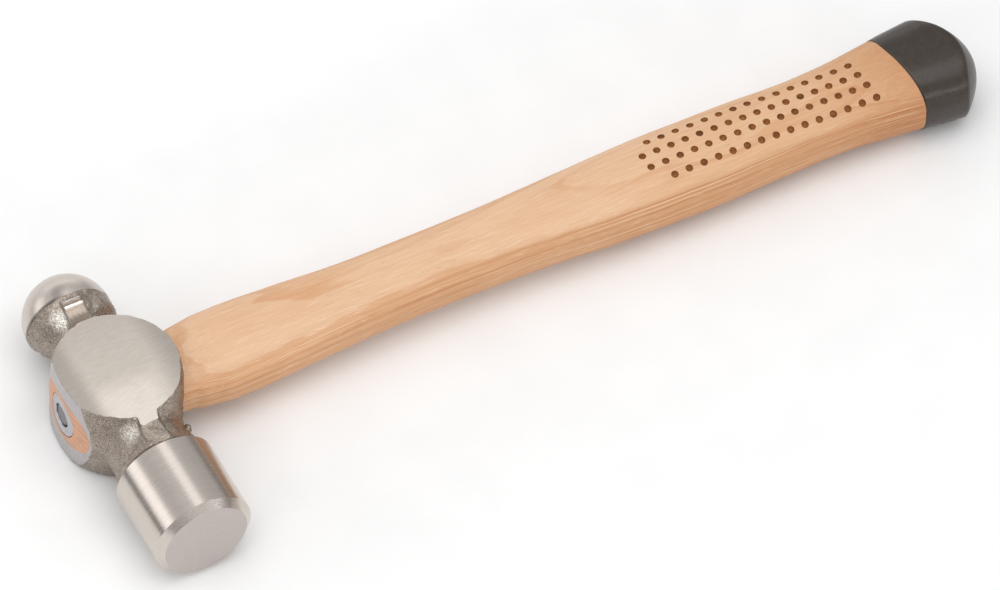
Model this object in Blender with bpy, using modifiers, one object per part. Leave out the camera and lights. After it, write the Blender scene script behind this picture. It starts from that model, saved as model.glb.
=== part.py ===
"""Ball-peen hammer: forged steel head on an oval wooden handle.

The head is hung on the handle's tenon, a round ring wedge spreads the tenon
in the eye, a dark sealing plug fills the ring, and the butt of the handle is
dipped in a coloured coat.

Frame while modelling: +X runs down the handle from the head to the butt,
+Y runs along the head from the striking face towards the ball, +Z is the
normal of the ground cheek.  The eye's centre is at the origin there; the
parent empty then moves everything so that the lowest point (the poll) is at
z = 0 and the hammer is centred over the origin.
"""

import math

import bmesh
import bpy
from mathutils import Vector

MM = 0.001

# ------------------------------------------------------------ driving sizes (mm)
# head
POLL_R = 15.5            # radius of the turned poll
POLL_BACK = -30.7        # y of the poll's back shoulder
POLL_FRONT = -55.7       # y where the face chamfer starts
FACE_Y = -58.1           # y of the striking face
FACE_R = 13.25           # flat of the striking face
BALL_R = 13.5            # radius of the ball
BALL_Y = 31.0            # y of the ball's centre
CHEEK_T = 14.5           # half width across the ground cheeks
# barrel of the round cheek boss, (z, r)
BOSS = ((14.5, 18.55), (13.9, 18.9), (12.6, 19.2), (8.0, 19.6), (3.0, 19.85))
CROWN_R = 37.5           # radius of the ground face round the driven end of the eye
CROWN_X = 17.15          # how far that face stands from the eye's centre
CROWN_Y = 0.3            # y of its highest line
RIB_W = 3.0              # half width of the ground strip along the necks
RIB_T = 13.8             # half height of that strip on the poll's neck
RIB_T_BALL = 12.0        # half height of that strip on the ball's neck
RIB_Y = (-29.2, 27.4)    # where the strip ends
# radius of the necks along the head, (y, r)
NECK = ((-34.2, 13.6), (-30.7, 13.6), (-27.25, 13.05), (-24.05, 12.3),
        (-21.15, 12.1), (-18.15, 12.4), (-10.7, 12.85), (10.7, 10.05),
        (18.7, 9.1), (20.85, 9.2), (22.75, 9.75), (25.1, 11.1),
        (27.45, 12.4), (29.95, 12.85))

# eye and tenon: (x, half length along Y, half width along Z) of the tenon
TENON = ((-16.25, 12.5, 8.35), (-9.6, 11.95, 7.8), (-1.05, 11.75, 7.6),
         (8.55, 11.85, 7.8), (17.65, 12.15, 8.35), (20.25, 12.2, 8.4))
EYE_GAP = 0.3            # clearance between wood and steel, and of the wedge
EYE_N = 2.5              # roundness exponent of the eye's oval

# handle: (x, half width along Y, half thickness along Z, offset along Y)
GRIP = ((20.7, 12.4, 8.8, 0.05), (21.9, 12.8, 9.1, 0.05), (25.65, 13.3, 9.5, 0.1),
        (32.05, 14.05, 10.0, 0.05), (38.5, 14.0, 10.1, 0.15),
        (51.3, 13.35, 9.75, 0.15), (64.15, 12.65, 9.35, 0.1),
        (83.4, 11.8, 8.95, 0.2), (102.6, 11.6, 8.85, 0.25),
        (121.85, 11.8, 9.1, 0.25), (141.1, 12.35, 9.75, 0.2),
        (160.35, 13.2, 10.5, -0.05), (179.6, 13.75, 11.0, -0.05),
        (190.3, 13.7, 11.1, -0.2), (205.25, 13.3, 10.95, -0.1),
        (224.5, 12.75, 10.55, -0.25), (237.3, 13.05, 10.8, -0.1),
        (250.15, 14.2, 11.75, -0.05), (258.7, 15.15, 12.4, 0.0),
        (267.25, 16.05, 12.85, -0.2), (280.1, 17.8, 13.05, 0.9))
GRIP_N = 2.5             # roundness exponent of the handle's oval
SLANT = 0.19             # slope of the dip line
DIP_X = 255.9            # x of the dip line at the handle's middle
END_X = 279.65           # x of the butt end at the handle's middle
END_SLANT = 0.227        # slope of the butt end across the handle's width
END_RY = 12.3            # radius of the domed butt end across the width
END_RZ = 16.6            # and across the thickness
END_ROUND = 1.5          # rounding between the sides and the dome
COAT = 0.6               # thickness of the dipped coat

# ring wedge
RING_R_TOP = 6.75        # outside radius at the driven end
RING_R_TIP = 5.65        # outside radius at the leading end
RING_B_TOP = 3.8         # bore radius at the driven end
RING_B_TIP = 4.6         # bore radius at the leading end
RING_LEN = 15.0
RING_Y, RING_Z = 1.1, -0.35   # where the ring sits in the tenon
PLUG_LEN = 3.2
PLUG_SINK = 0.5          # how far the plug lies below the ground face

SIDES = 40               # sides of the handle's loft

# ------------------------------------------------------------------ helpers


def purge():
    for ob in list(bpy.data.objects):
        bpy.data.objects.remove(ob, do_unlink=True)
    for block in (bpy.data.meshes, bpy.data.materials, bpy.data.curves):
        for item in list(block):
            block.remove(item)
    for col in list(bpy.data.collections):
        bpy.data.collections.remove(col)


def collection(name):
    col = bpy.data.collections.new(name)
    bpy.context.scene.collection.children.link(col)
    return col


def material(name, colour, rough, metallic):
    mat = bpy.data.materials.new(name)
    mat.use_nodes = True
    p = mat.node_tree.nodes["Principled BSDF"]
    p.inputs["Base Color"].default_value = (*colour, 1.0)
    p.inputs["Roughness"].default_value = rough
    p.inputs["Metallic"].default_value = metallic
    return mat


def from_bmesh(name, bm, col):
    bmesh.ops.recalc_face_normals(bm, faces=bm.faces)
    me = bpy.data.meshes.new(name)
    bm.to_mesh(me)
    bm.free()
    ob = bpy.data.objects.new(name, me)
    col.objects.link(ob)
    return ob


def cutter(ob):
    ob.hide_render = True
    ob.display_type = "WIRE"
    return ob


def turned(name, profile, col, steps=64):
    """A solid turned about local Z from (z, r) pairs that run from top to bottom."""
    me = bpy.data.meshes.new(name)
    pts = [(r * MM, 0.0, z * MM) for z, r in profile]
    me.from_pydata(pts, [(i, i + 1) for i in range(len(pts) - 1)], [])
    ob = bpy.data.objects.new(name, me)
    col.objects.link(ob)
    screw = ob.modifiers.new("turn", "SCREW")
    screw.axis = "Z"
    screw.steps = screw.render_steps = steps
    screw.use_merge_vertices = True
    screw.merge_threshold = 0.00001
    return ob


def boolean(ob, other, operation):
    mod = ob.modifiers.new(operation.lower() + "_" + other.name, "BOOLEAN")
    mod.operation = operation
    mod.solver = "EXACT"
    mod.object = other
    return mod


def smoothstep_table(table, x, k):
    """Smooth curve through the table's column k at x (monotone cubic)."""
    n = len(table)
    xs = [row[0] for row in table]
    ys = [row[k] for row in table]
    if x <= xs[0]:
        return ys[0]
    if x >= xs[-1]:
        return ys[-1]
    d = [(ys[i + 1] - ys[i]) / (xs[i + 1] - xs[i]) for i in range(n - 1)]
    m = [d[0]] + [0.0] * (n - 2) + [d[-1]]
    for i in range(1, n - 1):
        if d[i - 1] * d[i] > 0:
            w1 = 2 * (xs[i + 1] - xs[i]) + (xs[i] - xs[i - 1])
            w2 = (xs[i + 1] - xs[i]) + 2 * (xs[i] - xs[i - 1])
            m[i] = (w1 + w2) / (w1 / d[i - 1] + w2 / d[i])
    i = max(j for j in range(n - 1) if xs[j] <= x)
    h = xs[i + 1] - xs[i]
    t = (x - xs[i]) / h
    return ((2 * t**3 - 3 * t**2 + 1) * ys[i] + (t**3 - 2 * t**2 + t) * h * m[i]
            + (-2 * t**3 + 3 * t**2) * ys[i + 1] + (t**3 - t**2) * h * m[i + 1])


def oval(a, b, n, k, sides):
    """Point k of a superellipse ring with half axes a (Y) and b (Z)."""
    t = 2 * math.pi * k / sides
    c, s = math.cos(t), math.sin(t)
    return (a * math.copysign(abs(c) ** (2 / n), c),
            b * math.copysign(abs(s) ** (2 / n), s))


def crown(y):
    """Distance of the ground eye face from the middle plane x = 0."""
    return CROWN_X - (y - CROWN_Y) ** 2 / (2 * CROWN_R)


def loft(name, rings, col):
    """A closed solid through rings of equal length, with fan caps."""
    bm = bmesh.new()
    loops = [[bm.verts.new(Vector(p) * MM) for p in ring] for ring in rings]
    n = max(len(ring) for ring in rings)
    for a, b in zip(loops, loops[1:]):
        for i in range(n):
            j = (i + 1) % n
            if len(a) == 1:
                bm.faces.new((a[0], b[j], b[i]))
            elif len(b) == 1:
                bm.faces.new((a[i], a[j], b[0]))
            else:
                bm.faces.new((a[i], a[j], b[j], b[i]))
    return from_bmesh(name, bm, col)


# ------------------------------------------------------------------ scene

purge()
parts = collection("ball_peen_hammer")
tools = collection("cutters")
frame = bpy.data.objects.new("hammer_frame", None)
parts.objects.link(frame)

steel = material("forged_steel", (0.62, 0.60, 0.57), 0.30, 1.0)
wood = material("ash_wood", (0.76, 0.53, 0.33), 0.55, 0.0)
wedge_steel = material("wedge_steel", (0.60, 0.61, 0.63), 0.35, 1.0)
sealant = material("sealing_plug", (0.16, 0.15, 0.16), 0.70, 0.0)
coating = material("dip_coat", (0.09, 0.075, 0.065), 0.42, 0.0)

# ------------------------------------------------------------------ head

# poll, turned about the head's axis; local +Z is turned to point to -Y
poll_profile = [(-FACE_Y, 0.0), (-FACE_Y, FACE_R), (-POLL_FRONT, POLL_R),
                (-POLL_BACK + 0.3, POLL_R), (-POLL_BACK, POLL_R - 0.3),
                (-POLL_BACK, 0.0)]
head = turned("head", poll_profile, parts, 72)
head.rotation_euler = (math.pi / 2, 0, 0)

neck_profile = [(-NECK[0][0], 0.0)] + [(-y, r) for y, r in NECK] + [(-NECK[-1][0], 0.0)]
neck = cutter(turned("necks", neck_profile, tools, 48))
neck.rotation_euler = (math.pi / 2, 0, 0)

# ball: a sphere turned to the same axis, closed a little behind its middle
ball_profile = []
for i in range(25):
    t = math.pi * i / 24
    z, r = math.cos(t) * BALL_R, math.sin(t) * BALL_R
    if z < -6.5:
        ball_profile.append((-6.5, math.sqrt(BALL_R**2 - 6.5**2)))
        ball_profile.append((-6.5, 0.0))
        break
    ball_profile.append((z, r))
ball = cutter(turned("ball", ball_profile, tools, 64))
ball.rotation_euler = (-math.pi / 2, 0, 0)
ball.location = (0, BALL_Y * MM, 0)

# cheek boss: a round, slightly barrelled boss, ground to a crown where the
# wedged end of the handle shows
barrel = [(CHEEK_T, 0.0), *BOSS, *[(-z, r) for z, r in reversed(BOSS)], (-CHEEK_T, 0.0)]
boss = cutter(turned("cheek_boss", barrel, tools, 96))
bm = bmesh.new()
bmesh.ops.create_cone(bm, cap_ends=True, segments=128, radius1=CROWN_R * MM,
                      radius2=CROWN_R * MM, depth=4 * CHEEK_T * MM)
limit = cutter(from_bmesh("eye_face", bm, tools))
limit.location = ((CROWN_R - CROWN_X) * MM, CROWN_Y * MM, 0)
boolean(boss, limit, "INTERSECT")

# ground strip along both necks, where the forging's flash was trimmed
ribs = []
for name, y0, y1, half in (("poll_strip", RIB_Y[0], 0.0, RIB_T), ("ball_strip", 0.0, RIB_Y[1], RIB_T_BALL)):
    bm = bmesh.new()
    bmesh.ops.create_cube(bm, size=1.0)
    for v in bm.verts:
        v.co = Vector((v.co.x * 2 * RIB_W, v.co.y * (y1 - y0) + (y0 + y1) / 2,
                       v.co.z * 2 * half)) * MM
    ribs.append(cutter(from_bmesh(name, bm, tools)))

# eye: the tenon's oval, larger all round by the gap, right through
eye_rings = []
stations = [(-20.0, TENON[0][1], TENON[0][2])] + list(TENON) + [(22.0, TENON[-1][1], TENON[-1][2])]
for x, a, b in stations:
    eye_rings.append([(x, *oval(a + EYE_GAP, b + EYE_GAP, EYE_N, k, SIDES)) for k in range(SIDES)])
eye = cutter(loft("eye", [[(-20.0, 0, 0)]] + eye_rings + [[(22.0, 0, 0)]], tools))

boolean(head, neck, "UNION")
boolean(head, boss, "UNION")
for rib in ribs:
    boolean(head, rib, "UNION")
boolean(head, ball, "UNION")
boolean(head, eye, "DIFFERENCE")

# ------------------------------------------------------------------ handle


def half_sizes(x):
    return (smoothstep_table(GRIP, x, 1), smoothstep_table(GRIP, x, 2),
            smoothstep_table(GRIP, x, 3))


def grip_point(k, x, inset=0.0):
    """A point of the handle's side; x may depend on the point's own y."""
    a, b, off = half_sizes(x)
    y, z = oval(a - inset, b - inset, GRIP_N, k, SIDES)
    return y + off, z


def end_x(y, z, inset=0.0):
    return END_X - inset - END_SLANT * y - y * y / (2 * END_RY) - z * z / (2 * END_RZ)


def side_ring(u, inset=0.0, end_inset=0.0, dip=DIP_X):
    """Ring between the dip line (u = 0) and the edge of the butt end (u = 1)."""
    ring = []
    for k in range(SIDES):
        x = dip
        for _ in range(4):
            y, z = grip_point(k, x, inset)
            x = (dip - SLANT * y) * (1 - u) + end_x(y, z, end_inset) * u
        ring.append((x, y, z))
    return ring


def end_cap(inset, round_off):
    """Rounded edge and dome of the butt end."""
    edge_ring = side_ring(1.0, inset, inset + round_off)
    rings = [edge_ring]
    for s in (0.93, 0.72, 0.48, 0.24):
        rings.append([(end_x(y * s, z * s, inset), y * s, z * s) for _, y, z in edge_ring])
    rings.append([(end_x(0, 0, inset), 0.0, 0.0)])
    return rings


# wooden part: tenon, shoulder, neck, grip, and the reduced stub under the coat
rings = []
first_a, first_b = TENON[0][1], TENON[0][2]
rings.append([(-crown(0.0), 0.0, 0.0)])
for s in (0.55, 0.8, 1.0):
    ring = []
    for k in range(SIDES):
        y, z = oval(first_a * s, first_b * s, EYE_N, k, SIDES)
        ring.append((-crown(y), y, z))
    rings.append(ring)
for x, a, b in TENON[1:]:
    rings.append([(x, *oval(a, b, EYE_N, k, SIDES)) for k in range(SIDES)])
for row in GRIP:
    if row[0] < DIP_X - 6:
        rings.append([(row[0], *grip_point(k, row[0])) for k in range(SIDES)])
rings.append(side_ring(0.0, 0.0, 0.0, DIP_X - EYE_GAP))
under = COAT + EYE_GAP
rings.append(side_ring(0.0, under, 0.0, DIP_X - EYE_GAP))
for u in (0.33, 0.66):
    rings.append(side_ring(u, under, under + END_ROUND))
rings += end_cap(under, END_ROUND)
handle = loft("handle", rings, parts)

# ring seat: an annular groove in the tenon's end, and the plug's space above the core
seat = [(24.0, RING_B_TOP - EYE_GAP), (24.0, RING_R_TOP + EYE_GAP),
        (CROWN_X, RING_R_TOP + EYE_GAP),
        (CROWN_X - RING_LEN - EYE_GAP, RING_R_TIP + EYE_GAP),
        (CROWN_X - RING_LEN - EYE_GAP, RING_B_TIP - EYE_GAP),
        (CROWN_X - PLUG_LEN, RING_B_TOP - EYE_GAP),
        (24.0, RING_B_TOP - EYE_GAP)]
groove = cutter(turned("ring_seat", seat, tools, 48))
plug_hole = cutter(turned("plug_seat", [(24.0, 0.0), (24.0, RING_B_TOP + 0.5),
                                        (CROWN_X - PLUG_LEN - EYE_GAP, RING_B_TOP + 0.5),
                                        (CROWN_X - PLUG_LEN - EYE_GAP, 0.0)], tools, 48))
for ob in (groove, plug_hole):
    ob.rotation_euler = (0, -math.pi / 2, 0)
    ob.location = (0, RING_Y * MM, RING_Z * MM)
    boolean(handle, ob, "DIFFERENCE")

# ------------------------------------------------------------------ ring wedge

flush = crown(RING_Y) - RING_R_TOP**2 / (2 * CROWN_R) * 0.5
ring = turned("ring_wedge", [(flush, RING_B_TOP), (flush, RING_R_TOP),
                             (CROWN_X - RING_LEN, RING_R_TIP),
                             (CROWN_X - RING_LEN, RING_B_TIP),
                             (CROWN_X - PLUG_LEN - EYE_GAP, RING_B_TOP),
                             (flush, RING_B_TOP)], parts, 48)
ring.rotation_euler = (0, -math.pi / 2, 0)
ring.location = (0, RING_Y * MM, RING_Z * MM)

plug = turned("sealing_plug", [(CROWN_X - PLUG_SINK, 0.0), (CROWN_X - PLUG_SINK, RING_B_TOP - EYE_GAP),
                               (CROWN_X - PLUG_LEN, RING_B_TOP - EYE_GAP),
                               (CROWN_X - PLUG_LEN, 0.0)], parts, 40)
plug.rotation_euler = (0, -math.pi / 2, 0)
plug.location = (0, RING_Y * MM, RING_Z * MM)

# ------------------------------------------------------------------ butt coat

outer = [side_ring(u, 0.0, END_ROUND) for u in (0.0, 0.33, 0.66)] + end_cap(0.0, END_ROUND)
inner = [side_ring(u, COAT, COAT + END_ROUND) for u in (0.0, 0.33, 0.66)] + end_cap(COAT, END_ROUND)
coat = loft("butt_coat", [*reversed(inner), *outer], parts)

# ------------------------------------------------------------------ finish

low = -POLL_R
span = (-CROWN_X, END_X + END_SLANT**2 * END_RY / 2)
length = (FACE_Y, BALL_Y + BALL_R)
frame.location = (-sum(span) / 2 * MM, -sum(length) / 2 * MM, -low * MM)

for ob, mat in ((head, steel), (handle, wood), (ring, wedge_steel),
                (plug, sealant), (coat, coating)):
    ob.data.materials.append(mat)
for ob in list(parts.objects) + list(tools.objects):
    if ob is not frame:
        ob.parent = frame
for ob in (head, handle, ring, plug, coat):
    ob.data.shade_smooth()
    ob.data.set_sharp_from_angle(angle=math.radians(32))
bpy.context.view_layer.update()
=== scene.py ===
"""Ball-peen hammer: the looks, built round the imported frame.

Lengths inside the modelling functions are millimetres in the hammer's own
frame: +X from the head to the butt, +Y from the striking face to the ball,
+Z the normal of the upper ground cheek, origin at the eye's centre.
"""

import math

import bmesh
import bpy
import numpy as np
from mathutils import Matrix, Vector


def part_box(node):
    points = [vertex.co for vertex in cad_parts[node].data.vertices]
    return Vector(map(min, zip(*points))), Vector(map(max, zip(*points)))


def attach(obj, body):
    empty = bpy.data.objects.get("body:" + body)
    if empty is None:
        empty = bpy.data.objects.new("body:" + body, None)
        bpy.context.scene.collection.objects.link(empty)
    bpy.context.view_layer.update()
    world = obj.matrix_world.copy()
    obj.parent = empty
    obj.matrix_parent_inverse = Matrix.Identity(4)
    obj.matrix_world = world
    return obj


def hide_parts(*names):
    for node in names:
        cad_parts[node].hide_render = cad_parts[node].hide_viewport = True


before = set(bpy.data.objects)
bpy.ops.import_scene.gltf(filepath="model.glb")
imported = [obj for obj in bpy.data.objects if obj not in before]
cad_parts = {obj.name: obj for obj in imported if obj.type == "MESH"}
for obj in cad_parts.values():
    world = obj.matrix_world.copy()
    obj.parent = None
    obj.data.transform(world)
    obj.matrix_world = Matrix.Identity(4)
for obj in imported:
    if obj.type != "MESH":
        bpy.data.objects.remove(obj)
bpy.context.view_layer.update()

# ---------------------------------------------------------------- the frame
CROWN_X, CROWN_R, CROWN_Y = 17.15, 37.5, 0.3
POLL_R, FACE_R, FACE_Y, POLL_FRONT, POLL_BACK = 15.5, 13.25, -58.1, -55.7, -30.7
BALL_R, BALL_Y = 13.5, 31.0
CHEEK_T, CHEEK_CROWN, CHEEK_EDGE = 14.5, 330.0, 20.0

lo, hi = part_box("head")
ORIGIN = np.array([lo.x * 1000 + CROWN_X, lo.y * 1000 - FACE_Y, lo.z * 1000 + POLL_R])


def to_row(p):
    """Hammer frame in millimetres to the row frame in metres."""
    return (np.asarray(p, float) + ORIGIN) * 0.001


# ---------------------------------------------------------------- helpers
RNG = np.random.default_rng(20)
LATTICE = RNG.standard_normal((32, 32, 32))


def noise(p, cell, turn=0):
    """Smooth noise of the points p (N, 3) with bumps about one cell wide."""
    a, b = 0.7 + turn * 1.3, 0.4 + turn * 0.9
    ra = np.array([[math.cos(a), -math.sin(a), 0], [math.sin(a), math.cos(a), 0], [0, 0, 1]])
    rb = np.array([[1, 0, 0], [0, math.cos(b), -math.sin(b)], [0, math.sin(b), math.cos(b)]])
    q = p @ (ra @ rb).T / np.asarray(cell, float) + 11.3 * (turn + 1)
    i = np.floor(q).astype(np.int64)
    f = q - i
    f = f * f * f * (f * (f * 6 - 15) + 10)
    i %= 32
    j = (i + 1) % 32
    out = np.zeros(len(p))
    for dx in (0, 1):
        for dy in (0, 1):
            for dz in (0, 1):
                w = ((f[:, 0] if dx else 1 - f[:, 0]) * (f[:, 1] if dy else 1 - f[:, 1])
                     * (f[:, 2] if dz else 1 - f[:, 2]))
                out += w * LATTICE[(j if dx else i)[:, 0], (j if dy else i)[:, 1], (j if dz else i)[:, 2]]
    return out


def pchip(table, k, x):
    """Smooth monotone curve through column k of the table, at the values x."""
    t = np.array(table, float)
    xs, ys = t[:, 0], t[:, k]
    h = np.diff(xs)
    d = np.diff(ys) / h
    m = np.concatenate([[d[0]], np.zeros(len(d) - 1), [d[-1]]])
    for i in range(1, len(d)):
        if d[i - 1] * d[i] > 0:
            w1, w2 = 2 * h[i] + h[i - 1], h[i] + 2 * h[i - 1]
            m[i] = (w1 + w2) / (w1 / d[i - 1] + w2 / d[i])
    x = np.clip(np.asarray(x, float), xs[0], xs[-1])
    i = np.clip(np.searchsorted(xs, x, side="right") - 1, 0, len(h) - 1)
    s = (x - xs[i]) / h[i]
    return ((2 * s**3 - 3 * s**2 + 1) * ys[i] + (s**3 - 2 * s**2 + s) * h[i] * m[i]
            + (-2 * s**3 + 3 * s**2) * ys[i + 1] + (s**3 - s**2) * h[i] * m[i + 1])


def smin(a, b, k):
    """Union of two distance fields with a fillet of about k."""
    h = np.clip(0.5 + 0.5 * (b - a) / k, 0, 1)
    return b * (1 - h) + a * h - k * h * (1 - h)


def smax(a, b, k):
    return -smin(-a, -b, k)


def step(e0, e1, x):
    t = np.clip((x - e0) / (e1 - e0), 0, 1)
    return t * t * (3 - 2 * t)


def mesh_object(name, verts, faces, slot=None, replaces=(), stage=False):
    me = bpy.data.meshes.new(name)
    me.from_pydata([tuple(v) for v in verts], [], [tuple(int(i) for i in f) for f in faces])
    me.update()
    ob = bpy.data.objects.new(name, me)
    bpy.context.scene.collection.objects.link(ob)
    return ob


# ================================================================ the head
# radius of the forged necks along the head, (y, r)
NECK = [(-34.2, 13.7), (-30.7, 13.6), (-27.25, 13.05), (-24.05, 12.3), (-21.15, 12.1),
        (-18.15, 12.4), (-10.7, 12.85), (10.7, 10.05), (18.7, 9.1), (20.85, 9.2),
        (22.75, 9.75), (25.1, 11.1), (27.45, 12.4), (28.9, 12.75), (29.9, 13.1),
        (30.9, 14.1), (33.0, 17.5), (46.0, 30.0)]
# barrel of the cheek boss, (z, r)
BOSS = [(0.0, 19.9), (3.0, 19.85), (8.0, 19.6), (12.0, 19.25), (13.3, 19.0), (14.5, 18.6), (15.5, 17.9)]
# height of the trimmed strip along the poll neck and the ball neck, (y, z)
STRIP = [(-31.0, 12.6), (-29.4, 12.9), (-28.6, 13.35), (-27.0, 13.4), (-24.5, 13.4),
         (-22.6, 13.55), (-21.8, 13.85), (-21.2, 14.5), (-20.6, 14.75), (-15.0, 14.9), (15.0, 14.9), (18.6, 14.9),
         (19.3, 14.0), (20.2, 12.4), (21.6, 11.55), (23.2, 11.35), (24.9, 11.75), (26.3, 12.45),
         (26.8, 12.85), (27.15, 12.6), (27.45, 13.1), (27.9, 12.85), (28.2, 13.3), (28.8, 13.1), (29.6, 13.2)]
# its middle and half width, (y, x, w)
STRIP_W = [(-31.0, -0.15, 3.5), (-28.5, -0.2, 3.45), (-24.0, -0.35, 3.1), (-20.0, 0.3, 2.65), (-17.5, 0.6, 3.0),
           (15.0, -0.1, 3.2), (20.0, -0.2, 3.2), (25.0, -0.3, 3.1), (29.6, -0.5, 3.0)]
TENON = [(-17.6, 12.62, 8.45), (-16.25, 12.5, 8.35), (-9.6, 11.95, 7.8), (-1.05, 11.75, 7.6),
         (8.55, 11.85, 7.8), (17.65, 12.15, 8.35), (19.5, 12.2, 8.5), (20.6, 12.38, 8.75)]
EYE_GAP = 0.07
NN = 2.5

fine = np.linspace(-60, 46, 4241)
NECK_F = pchip(NECK, 1, fine)
STRIP_F = pchip(STRIP, 1, fine)
STRIP_C, STRIP_H = pchip(STRIP_W, 1, fine), pchip(STRIP_W, 2, fine)
boss_z = np.linspace(0, 15.5, 621)
BOSS_F = pchip(BOSS, 1, boss_z)
tenon_x = np.linspace(-20, 22, 841)
TENON_A, TENON_B = pchip(TENON, 1, tenon_x), pchip(TENON, 2, tenon_x)


def blank_field(x, y, z, rough=True):
    """Distance field of the forged blank."""
    r = np.hypot(x, z)
    rn = np.interp(y, fine, NECK_F)
    # the ball's skirt is drawn out on the handle side
    out = step(0.4, 0.9, x / np.maximum(r, 1e-3)) * step(22.8, 26.2, y)
    rn = rn + out * np.maximum(13.42 - rn, 0)
    neck = (r - rn) * 0.9
    neck = np.maximum(neck, -31.5 - y)
    az = np.abs(z)
    rb = np.interp(az, boss_z, BOSS_F)
    xy = np.hypot(x, y)
    # the facet is a little smaller towards the poll's left neck and a little larger on the right
    side = (-x * 0.75 - y * 0.66) / np.maximum(xy, 1e-3)
    rb = rb - 0.55 * step(0.35, 0.95, side) * step(6, 14, az)
    rb = rb + 0.3 * step(0.5, 0.95, (x * 0.2 + y * 0.98) / np.maximum(xy, 1e-3)) * step(8, 14, az)
    boss = np.maximum(xy - rb, az - 15.4)
    top = np.interp(y, fine, STRIP_F)
    cx, w = np.interp(y, fine, STRIP_C), np.interp(y, fine, STRIP_H)
    side_wall = np.abs(x - cx) - w - 0.30 * np.clip(top - az, 0, 3)
    strip = smax(side_wall, az - top, 0.45)
    strip = np.maximum(np.maximum(strip, y - 29.4), -29.55 - y)
    f = smin(neck, boss, 1.0 + 2.2 * step(-4, 3, z))
    # a small forging lump on the handle side of the poll neck
    lump = np.sqrt((x - 12.0)**2 + ((y + 22.6) / 1.6)**2 + ((z - 4.2) / 1.8)**2) - 0.85
    f = smin(f, lump, 0.5)
    f = smin(f, strip, 0.5)
    if rough:
        near = np.abs(f) < 1.3
        if near.any():
            p = np.stack([x[near], y[near], z[near]], 1)
            n = (0.16 * noise(p, 5.5, 1) + 0.085 * noise(p, 2.1, 2) + 0.05 * noise(p, 1.0, 3))
            # the trimmed strip on the ball's neck is nearly smooth
            on = step(0.6, -0.2, side_wall[near]) * step(1.2, 0.4, top[near] - az[near]) * step(18, 20, y[near])
            n = n * (1 - 0.85 * on)
            f = f.copy()
            f[near] += n
    return f


def fields(x, y, z, rough=True):
    """The distance fields that make the head: blank, its ground limits and the turned poll."""
    r = np.hypot(x, z)
    blank = blank_field(x, y, z, rough)
    # belt grinding leaves the cheeks a little crowned
    cheek = np.abs(z) - CHEEK_T + np.minimum(y * y, CHEEK_EDGE**2) / (2 * CHEEK_CROWN)
    face = -x - (CROWN_X - (y - CROWN_Y)**2 / (2 * CROWN_R) + 0.012 * (CHEEK_T - z)
                 + 2 * np.maximum(0, -13.8 - y)**2 + 2 * np.maximum(0, y - 15)**2)
    face = np.where(np.abs(y) < 24, face, -50.0)
    cap = np.where(y > 24, np.where(y > BALL_Y, np.sqrt(r * r + (y - BALL_Y)**2), r) - BALL_R, -50.0)
    a = np.interp(x, tenon_x, TENON_A) + EYE_GAP
    b = np.interp(x, tenon_x, TENON_B) + EYE_GAP
    rho = (np.abs(y / a)**NN + np.abs(z / b)**NN)**(1 / NN)
    bore = (1 - rho) * 10.0
    # turned poll: side, chamfer, crowned striking face, back shoulder
    side = r - POLL_R
    dome = -(y - FACE_Y) + r * r / 700.0
    cy, cr = POLL_FRONT - (FACE_Y + FACE_R**2 / 700.0), POLL_R - FACE_R
    cham = (-(y - POLL_FRONT) * cr + (r - POLL_R) * cy) / math.hypot(cr, cy)
    back = y - POLL_BACK
    lip = (back + side + 0.32) / math.sqrt(2)
    return blank, cheek, face, cap, bore, side, cham, dome, back, lip


def head_field(x, y, z, rough=True):
    blank, cheek, face, cap, bore, side, cham, dome, back, lip = fields(x, y, z, rough)
    body = np.maximum.reduce([blank, cheek, face, cap, bore])
    poll = np.maximum.reduce([side, cham, dome, back, lip])
    return np.minimum(body, poll)


def gradient(fun, p, e=0.02):
    g = np.empty_like(p)
    for k in range(3):
        d = np.zeros(3)
        d[k] = e
        a, b = p + d, p - d
        g[:, k] = fun(a[:, 0], a[:, 1], a[:, 2]) - fun(b[:, 0], b[:, 1], b[:, 2])
    return g / np.maximum(np.linalg.norm(g, axis=1, keepdims=True), 1e-9)


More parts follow.
